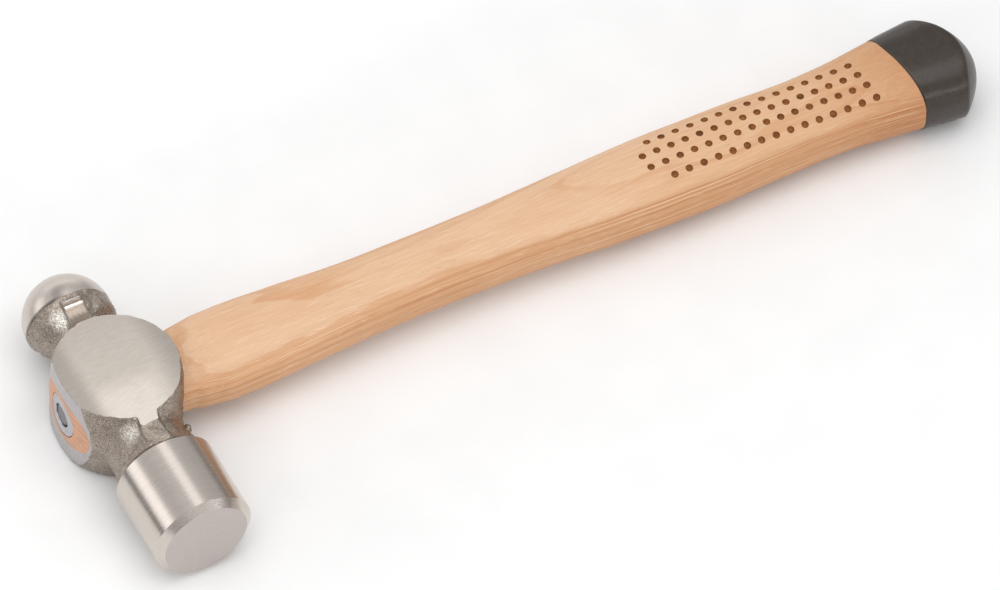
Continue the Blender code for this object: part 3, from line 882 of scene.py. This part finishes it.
def steel_head():
    m = Net("steel_head")
    jag = m.math("SUBTRACT", m.noise(m.mm, 1.6, 3.0, 0.6), 0.5)

    def region(name, jagged=0.0, soft=0.05):
        a = m.attr(name)
        if jagged:
            a = m.add(a, m.mul(jag, jagged))
        return m.range(a, -soft, soft)

    cheek, eye, ball = region("r_cheek", 0.25), region("r_eye", 0.12), region("r_ball", 0.5, 0.08)
    poll, strip, bore = region("r_poll"), region("r_strip", 0.7, 0.15), region("r_bore")
    # blasted forging
    grain = m.noise(m.mm, 2.6, 3.0, 0.65)
    grain2 = m.noise(m.mm, 4.6, 2.0, 0.6)
    blotch = m.noise(m.mm, 0.22, 3.0, 0.6)
    pits = m.range(m.voronoi(m.mm, 1.9), 0.12, 0.42)
    rough_col = m.ramp(m.add(m.mul(grain, 0.75), m.mul(grain2, 0.25)),
                       [(0.30, srgb(98, 87, 78)), (0.45, srgb(150, 138, 127)), (0.58, srgb(188, 177, 166)), (0.70, srgb(236, 229, 219))])
    rough_col = m.mix(m.range(blotch, 0.35, 0.7, 0.0, 0.22), rough_col, srgb(150, 128, 108), "MULTIPLY")
    # ground and brushed areas
    fine = m.noise(m.scaled(0.5, 8.0, 0.5), 1.0, 4.0, 0.75)          # lines round the poll
    fine2 = m.noise(m.scaled(0.12, 2.2, 0.12), 1.0, 3.0, 0.6)
    turned_col = m.mix(m.range(fine2, 0.3, 0.7), srgb(205, 196, 188), srgb(211, 202, 194))
    ux = m.add(m.x, m.mul(m.y, 0.12))
    uy = m.add(m.mul(m.x, -0.12), m.y)
    brush = m.noise(m.xyz(m.mul(ux, 0.3), m.mul(uy, 4.5), m.mul(m.z, 0.3)), 1.0, 4.0, 0.7)
    cheek_col = m.mix(m.range(brush, 0.3, 0.7), srgb(200, 191, 181), srgb(214, 205, 196))
    # painted highlight and shade: brighter towards the poll, duller to both sides
    low = m.mul(m.range(m.y, -2.0, -11.0), m.mul(m.range(m.x, 13.0, 4.0), m.range(m.x, -13.0, -7.0)))
    painted_side_shade = m.add(m.mul(m.range(m.x, -8.5, -14.5), 0.27), m.mul(m.range(m.x, 9.0, 18.0), 0.30))
    painted_light_tone = m.mul(m.lerp(low, 0.97, 1.24), m.math("SUBTRACT", 1.0, painted_side_shade))
    cheek_col = m.mix(1.0, cheek_col, m.xyz(painted_light_tone, painted_light_tone, painted_light_tone), "MULTIPLY")
    face_brush = m.noise(m.xyz(m.mul(m.add(m.x, m.z), 0.3), m.mul(m.y, 0.5), m.mul(m.math("SUBTRACT", m.z, m.x), 3.2)), 1.0, 4.0, 0.7)
    face_col = m.mix(m.range(face_brush, 0.3, 0.7), srgb(189, 180, 176), srgb(201, 193, 189))
    on_face = m.range(m.attr("r_face"), -0.05, 0.05)
    eye_brush = m.noise(m.xyz(m.mul(m.x, 0.3), m.mul(m.y, 3.6), m.mul(m.z, 0.25)), 1.0, 4.0, 0.7)
    eye_col = m.mix(m.range(eye_brush, 0.3, 0.7), srgb(180, 176, 178), srgb(199, 194, 194))

    def near(cx, cy, cz, r0, r1):
        d = [m.add(a, -c) for a, c in ((m.x, cx), (m.y, cy), (m.z, cz))]
        d = m.math("SQRT", m.add(m.mul(d[0], d[0]), m.add(m.mul(d[1], d[1]), m.mul(d[2], d[2]))))
        return m.range(d, r0, r1)

    # painted highlights: two bright spots on the blasted necks; painted shade: dark in the corner against the poll
    painted_glint = m.math("MAXIMUM", near(-7.0, -22.0, 12.3, 4.6, 1.2), near(-5.9, 25.0, 9.7, 4.2, 1.0))
    col = m.mix(m.mul(painted_glint, m.range(m.add(m.mul(grain, 0.5), m.mul(grain2, 0.5)), 0.42, 0.58, 0.08, 1.0)), rough_col, srgb(252, 249, 243))
    # painted shade: the forging darker in the corner against the poll's back
    painted_corner_shade = m.mul(m.range(m.y, -28.7, -29.6), m.range(m.z, 2.0, 7.0))
    col = m.mix(painted_corner_shade, col, m.mix(1.0, col, (0.42, 0.37, 0.32), "MULTIPLY"))
    col = m.mix(strip, col, m.mix(m.range(grain, 0.35, 0.65), srgb(146, 133, 121), srgb(172, 159, 147)))
    # painted highlights: bright lines on the steps of the trimmed strip by the ball
    painted_strip_highlight = m.math("MAXIMUM", m.mul(m.range(m.y, 26.0, 26.5), m.range(m.y, 27.0, 26.8)), m.range(m.y, 28.1, 28.4))
    col = m.mix(m.mul(m.mul(strip, painted_strip_highlight), 0.8), col, srgb(250, 246, 240))
    # deeper brown towards the handle side of the forging
    col = m.mix(m.mul(m.range(m.x, 8.0, 15.0), m.range(m.y, 6.0, -6.0)), col, m.mix(1.0, col, (0.80, 0.74, 0.68), "MULTIPLY"))
    col = m.mix(cheek, col, cheek_col)
    col = m.mix(eye, col, eye_col)
    # painted dark reflection along the ball's lower ground edge
    edge = m.mul(m.range(m.attr("r_ball"), 1.7, 0.3), m.range(m.x, 1.0, -6.0))
    col = m.mix(ball, col, m.mix(m.mul(edge, 0.9), turned_col, srgb(104, 96, 89)))
    # painted shade: a dark band down the turned poll's handle-side limb
    shade = m.mul(m.range(m.x, 6.0, 8.3), m.range(m.x, 12.2, 9.8))
    poll_col = m.mix(shade, turned_col, m.mix(1.0, turned_col, (0.68, 0.65, 0.62), "MULTIPLY"))
    col = m.mix(poll, col, m.mix(on_face, poll_col, face_col))
    col = m.mix(bore, col, srgb(60, 55, 52))
    r = m.lerp(m.range(grain, 0.35, 0.65), 0.42, 0.28)
    r = m.lerp(strip, r, 0.38)
    r = m.lerp(cheek, r, m.range(brush, 0.3, 0.7, 0.36, 0.31))
    r = m.lerp(eye, r, 0.42)
    r = m.lerp(ball, r, m.range(fine2, 0.3, 0.7, 0.38, 0.32))
    r = m.lerp(poll, r, m.lerp(on_face, m.range(fine, 0.3, 0.7, 0.28, 0.23), 0.46))
    smooth = m.math("MAXIMUM", m.math("MAXIMUM", cheek, eye), m.math("MAXIMUM", ball, m.math("MAXIMUM", poll, m.mul(strip, 0.8))))
    h = m.mul(m.add(m.add(m.mul(grain, 0.6), m.mul(grain2, 0.25)), m.mul(pits, 0.12)), m.math("SUBTRACT", 1.0, smooth))
    lines = m.lerp(cheek, 0.0, m.mul(brush, 0.45))
    lines = m.lerp(eye, lines, eye_brush)
    lines = m.lerp(ball, lines, fine)
    lines = m.lerp(poll, lines, m.lerp(on_face, m.mul(fine, 0.35), face_brush))
    n1 = m.bump(h, 0.00022, 1.0)
    n2 = m.bump(lines, 0.000009, 1.0, n1)
    return m.set(Base_Color=col, Metallic=1.0, Roughness=r, Normal=n2)


def wood():
    m = Net("ash_wood_side")
    wander = m.math("SUBTRACT", m.noise(m.scaled(0.011, 0.055, 0.055), 1.0, 2.0, 0.5), 0.5)
    wander2 = m.math("SUBTRACT", m.noise(m.scaled(0.05, 0.25, 0.25), 1.0, 2.0, 0.5), 0.5)
    c = m.add(m.add(m.z, m.mul(m.mul(m.y, m.y), 0.011)), m.mul(m.x, 0.004))
    c = m.add(c, m.add(m.mul(wander, 5.5), m.mul(wander2, 0.9)))
    t = m.math("DIVIDE", c, 2.35)
    fr = m.math("FRACT", t)
    ring = m.white(m.math("FLOOR", t))
    late = m.math("POWER", fr, 2.2)
    edge = m.range(fr, 0.86, 1.0)
    band = m.mul(m.mul(late, m.math("SUBTRACT", 1.0, edge)), m.range(ring, 0.0, 1.0, 0.35, 0.9, False))
    # lines show on the cut flanks and fade on the broad sides
    flank = m.range(m.math("ABSOLUTE", m.z), 9.5, 5.0)
    band = m.mul(band, m.lerp(flank, 0.6, 1.15))
    col = m.ramp(band, [(0.0, srgb(224, 183, 146)), (0.35, srgb(218, 171, 131)), (0.75, srgb(204, 150, 108)), (1.0, srgb(184, 127, 84))])
    line = m.mul(m.range(fr, 0.80, 0.93), m.range(fr, 1.0, 0.95))
    col = m.mix(m.mul(line, 0.4), col, srgb(204, 144, 98))
    patch = m.noise(m.scaled(0.02, 0.07, 0.07), 1.0, 3.0, 0.55)
    col = m.mix(m.range(patch, 0.38, 0.66, 0.0, 0.45), col, srgb(230, 194, 161))
    fibre = m.noise(m.scaled(0.06, 2.4, 2.4), 1.0, 4.0, 0.65)
    col = m.mix(m.range(fibre, 0.35, 0.75, 0.0, 0.3), col, srgb(190, 142, 102), "MIX")
    pale = m.noise(m.scaled(0.09, 3.6, 3.6), 1.0, 2.0, 0.5)
    col = m.mix(m.mul(m.range(pale, 0.58, 0.70, 0.0, 0.6), m.lerp(flank, 0.6, 1.0)), col, srgb(242, 220, 194))
    pores = m.noise(m.scaled(0.22, 6.0, 6.0), 1.0, 2.0, 0.5)
    pore = m.mul(m.range(pores, 0.66, 0.74), m.range(fr, 0.35, 0.0))
    col = m.mix(m.mul(pore, 0.55), col, srgb(150, 104, 70))
    h = m.add(m.mul(fibre, 0.5), m.add(m.mul(fr, 0.2), m.mul(pore, -0.6)))
    # the heartwood end of the stave is redder
    red = m.range(m.add(m.x, m.mul(wander, 60.0)), 120.0, 270.0, 0.0, 1.0)
    col = m.mix(red, col, m.mix(1.0, col, (0.94, 0.89, 0.82), "MULTIPLY"))
    col = m.mix(1.0, col, (0.985, 0.985, 0.985), "MULTIPLY")
    # painted shade: the flaring end of the grip darker, as its surface turns from the light
    butt = m.range(m.x, 222.0, 262.0)
    col = m.mix(butt, col, m.mix(1.0, col, (0.82, 0.70, 0.60), "MULTIPLY"))
    # the inner wood, seen on the narrow sides, is a deeper colour
    heart = m.range(m.add(m.z, m.mul(wander2, 1.5)), 8.4, 5.6)
    col = m.mix(heart, col, m.mix(1.0, col, (0.94, 0.83, 0.72), "MULTIPLY"))
    deep = m.mul(heart, m.range(m.x, 45.0, 95.0))
    col = m.mix(deep, col, m.mix(1.0, col, (0.92, 0.90, 0.87), "MULTIPLY"))
    # darker growth lines run the length of the narrow side, with a few pale ones between
    g = m.noise(m.scaled(0.006, 0.12, 0.85), 1.0, 3.0, 0.55)
    col = m.mix(m.mul(heart, m.range(g, 0.52, 0.62, 0.0, 0.55)), col, srgb(190, 132, 88))
    g2 = m.noise(m.scaled(0.007, 0.2, 1.9), 1.0, 2.0, 0.5)
    col = m.mix(m.mul(heart, m.range(g2, 0.60, 0.68, 0.0, 0.6)), col, srgb(238, 208, 176))
    n = m.bump(h, 0.00005, 1.0)
    return m.set(Base_Color=col, Roughness=m.range(fibre, 0.3, 0.7, 0.46, 0.56), Normal=n, Specular_IOR_Level=0.4)


def end_grain():
    m = Net("ash_wood_end")
    c = m.add(m.add(m.z, m.mul(m.mul(m.y, m.y), 0.011)), m.mul(m.noise(m.scaled(0.1, 0.3, 0.3), 1.0, 2.0), 2.0))
    fr = m.math("FRACT", m.math("DIVIDE", c, 2.35))
    fine = m.noise(m.scaled(1.0, 0.7, 5.0), 1.0, 4.0, 0.7)
    col = m.ramp(fr, [(0.0, srgb(206, 154, 123)), (0.5, srgb(219, 170, 139)), (1.0, srgb(210, 159, 127))])
    col = m.mix(m.range(fine, 0.4, 0.72, 0.0, 0.22), col, srgb(170, 114, 82))
    smear = m.mul(m.range(m.noise(m.scaled(1.0, 0.16, 0.45), 1.0, 2.0, 0.5), 0.5, 0.62), m.range(m.y, 1.0, -5.0))
    col = m.mix(m.mul(smear, 0.35), col, srgb(162, 140, 130))
    pores = m.voronoi(m.scaled(1.0, 3.2, 3.2), 1.0)
    col = m.mix(m.range(pores, 0.22, 0.08, 0.0, 0.6), col, srgb(110, 70, 50))
    n = m.bump(fine, 0.00008, 1.0)
    return m.set(Base_Color=col, Roughness=0.6, Normal=n, Specular_IOR_Level=0.35)


def burnt():
    m = Net("burnt_wood")
    n1 = m.noise(m.scaled(0.3, 2.6, 2.6), 1.0, 3.0, 0.6)
    col = m.ramp(n1, [(0.3, srgb(122, 74, 36)), (0.55, srgb(156, 100, 54)), (0.75, srgb(184, 126, 74))])
    deep = m.noise(m.scaled(0.12, 0.25, 0.25), 1.0, 2.0, 0.5)
    col = m.mix(m.range(deep, 0.5, 0.72, 0.0, 0.5), col, srgb(92, 56, 30))
    return m.set(Base_Color=col, Roughness=0.7, Normal=m.bump(n1, 0.0001, 1.0), Specular_IOR_Level=0.3)


def ring_steel():
    m = Net("steel_ring_wedge")
    brush = m.noise(m.xyz(m.mul(m.x, 0.3), m.mul(m.y, 3.6), m.mul(m.z, 0.25)), 1.0, 4.0, 0.7)
    blot = m.noise(m.mm, 0.6, 3.0, 0.6)
    col = m.mix(m.range(brush, 0.3, 0.7), srgb(182, 182, 187), srgb(199, 199, 203))
    col = m.mix(m.range(blot, 0.5, 0.75, 0.0, 0.35), col, srgb(150, 146, 146))
    return m.set(Base_Color=col, Metallic=1.0, Roughness=0.40, Normal=m.bump(brush, 0.000015, 1.0))


def plug_mat():
    m = Net("sealing_compound")
    g = m.noise(m.mm, 3.0, 3.0, 0.7)
    col = m.ramp(g, [(0.3, srgb(96, 91, 92)), (0.5, srgb(128, 123, 124)), (0.7, srgb(156, 152, 152))])
    d = m.math("SQRT", m.add(m.mul(m.add(m.y, -RING_Y), m.add(m.y, -RING_Y)),
                             m.mul(m.add(m.z, -RING_Z), m.add(m.z, -RING_Z))))
    # painted shadow: a dark jagged ring round the compound's edge, inside the wedge's bore
    rim = m.range(m.add(d, m.mul(g, 0.5)), 3.15, 3.55)
    col = m.mix(rim, col, srgb(30, 26, 26))
    return m.set(Base_Color=col, Roughness=0.55, Normal=m.bump(g, 0.00012, 1.0), Specular_IOR_Level=0.4)


def coat_mat():
    m = Net("dip_lacquer")
    g = m.noise(m.mm, 0.55, 3.0, 0.6)
    f = m.noise(m.mm, 2.6, 3.0, 0.6)
    col = m.mix(m.range(g, 0.35, 0.65), srgb(54, 46, 40), srgb(60, 51, 44))
    pits = m.range(m.voronoi(m.mm, 0.42), 0.10, 0.05)
    dust = m.range(m.voronoi(m.scaled(1.1, 1.0, 1.0), 0.7), 0.07, 0.03)
    col = m.mix(m.mul(pits, 0.8), col, srgb(34, 29, 26))
    col = m.mix(m.mul(dust, 0.35), col, srgb(120, 112, 106))
    h = m.add(m.mul(f, 0.45), m.add(m.mul(g, 0.6), m.mul(pits, -1.2)))
    return m.set(Base_Color=col, Roughness=m.range(f, 0.3, 0.7, 0.26, 0.38), Normal=m.bump(h, 0.00003, 1.0),
                 Specular_IOR_Level=0.38)


# ================================================================ assembly
def finish_piece(ob, node, mats, angle=32):
    for mt in mats:
        ob.data.materials.append(mt)
    if angle is not None:
        ob.data.shade_smooth()
        ob.data.set_sharp_from_angle(angle=math.radians(angle))
    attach(ob, "root")
    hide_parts(node)


head = make_head()
finish_piece(head, "head", [steel_head()], None)
handle = make_handle()
finish_piece(handle, "handle", [], 34)
ring = make_ring()
finish_piece(ring, "ring_wedge", [ring_steel()], 30)
plug = make_plug()
finish_piece(plug, "sealing_plug", [plug_mat()], 50)
coat = make_coat()
finish_piece(coat, "butt_coat", [coat_mat()], 60)

# ================================================================ stage
me = bpy.data.meshes.new("floor")
S = 6.0
me.from_pydata([(-S, -S, 0), (S, -S, 0), (S, S, 0), (-S, S, 0)], [], [(0, 1, 2, 3)])
floor = bpy.data.objects.new("floor", me)
bpy.context.scene.collection.objects.link(floor)
slope_x, slope_y = 0.0074, 0.0201        # rests the poll's back edge, the cheek and the butt on it
nrm = Vector((-slope_x, -slope_y, 1)).normalized()
floor.rotation_mode = "QUATERNION"
floor.rotation_quaternion = Vector((0, 0, 1)).rotation_difference(nrm)
lowest = 1.0
for ob in (head, handle, coat):
    co = np.empty(len(ob.data.vertices) * 3)
    ob.data.vertices.foreach_get("co", co)
    co = co.reshape(-1, 3)
    lowest = min(lowest, float((co[:, 2] - slope_x * co[:, 0] - slope_y * co[:, 1]).min()))
floor.location = (0, 0, lowest - 0.00005)
fm = Net("pale_floor")
fine_n = fm.noise(fm.mm, 0.05, 3.0)
fcol = fm.mix(fm.range(fine_n, 0.3, 0.7), (0.89, 0.89, 0.89), (0.91, 0.91, 0.91))
floor.data.materials.append(fm.set(Base_Color=fcol, Roughness=0.9, Specular_IOR_Level=0.0))

world = bpy.data.worlds.new("studio")
bpy.context.scene.world = world
world.use_nodes = True
wn = world.node_tree
bg = wn.nodes["Background"]
tc = wn.nodes.new("ShaderNodeTexCoord")
sep = wn.nodes.new("ShaderNodeSeparateXYZ")
wn.links.new(tc.outputs["Generated"], sep.inputs[0])
rampw = wn.nodes.new("ShaderNodeValToRGB")
for i, (p, v) in enumerate(((0.0, 0.36), (0.12, 0.42), (0.35, 0.52), (0.70, 0.60), (1.0, 0.70))):
    el = rampw.color_ramp.elements
    if i >= len(el):
        el.new(p)
for el, (p, v) in zip(rampw.color_ramp.elements, ((0.0, 0.36), (0.12, 0.42), (0.35, 0.52), (0.70, 0.60), (1.0, 0.70))):
    el.position = p
    el.color = (v, v, v, 1)
wn.links.new(sep.outputs["Z"], rampw.inputs[0])
wn.links.new(rampw.outputs["Color"], bg.inputs["Color"])
bg.inputs["Strength"].default_value = 1.0


def softbox(name, direction, distance, width, height, radiance, target, roll=0.0, color=(1, 1, 1)):
    l = bpy.data.lights.new(name, "AREA")
    l.shape = "RECTANGLE"
    l.size, l.size_y = width, height
    l.energy = radiance * math.pi * width * height
    l.color = color
    ob = bpy.data.objects.new(name, l)
    bpy.context.scene.collection.objects.link(ob)
    d = Vector(direction).normalized()
    ob.location = Vector(target) + d * distance
    ob.rotation_mode = "QUATERNION"
    ob.rotation_quaternion = d.to_track_quat("Z", "Y")
    ob.visible_camera = False
    return ob


head_at = Vector(to_row((0, -20, 0)))
softbox("key_left", (-0.80, 0.52, 0.275), 1.3, 1.5, 0.54, 1.16, head_at)
softbox("crown_light", (0.14, 0.51, 0.85), 1.6, 0.48, 0.55, 0.85, head_at)
softbox("overhead", (-0.05, -0.15, 0.99), 1.8, 2.0, 1.4, 1.75, Vector((0, 0, 0)))
softbox("front_left", (-0.69, -0.41, 0.60), 1.5, 0.5, 0.4, 3.0, head_at)
softbox("back_low", (0.15, 0.95, 0.26), 1.9, 2.2, 0.55, 0.95, Vector((0, 0, 0)))
softbox("front_strip", (0.14, -0.92, 0.27), 1.7, 1.5, 0.08, 14.0, Vector((0.1, 0, 0)))
# a dark flag standing beyond the left light's foot keeps the turned poll's band dark
fl = bpy.data.meshes.new("dark_flag")
fl.from_pydata([(-0.245, -0.10, 0.002), (-0.245, 0.30, 0.002), (-0.245, 0.30, 0.028), (-0.245, -0.10, 0.028)], [], [(0, 1, 2, 3)])
flag = bpy.data.objects.new("dark_flag", fl)
bpy.context.scene.collection.objects.link(flag)
flag_mat = Net("flag_cloth")
fl.materials.append(flag_mat.set(Base_Color=(0.06, 0.05, 0.045), Roughness=0.9))
flag.visible_camera = False
flag.visible_shadow = False
flag.visible_diffuse = False

# ---------------------------------------------------------------- camera
RIGHT = Vector((0.88775, -0.45982, 0.02157))
UP = Vector((0.35621, 0.71590, 0.60050))
BACK = Vector((-0.29156, -0.52542, 0.79933))
eye_at = Vector(to_row((0, 0, 0)))
DIST = 7.0
cam_data = bpy.data.cameras.new("camera")
cam_data.sensor_width = 36.0
cam_data.lens = 867.716
cam_data.clip_start, cam_data.clip_end = 0.1, 60.0
cam = bpy.data.objects.new("camera", cam_data)
bpy.context.scene.collection.objects.link(cam)
m3 = Matrix((RIGHT, UP, BACK)).transposed()
cam.matrix_world = Matrix.Translation(eye_at + RIGHT * 0.111499 + UP * 0.029386 + BACK * DIST) @ m3.to_4x4()
bpy.context.scene.camera = cam
bpy.context.scene.view_settings.view_transform = "Standard"
bpy.context.scene.view_settings.look = "None"

bpy.context.view_layer.update()
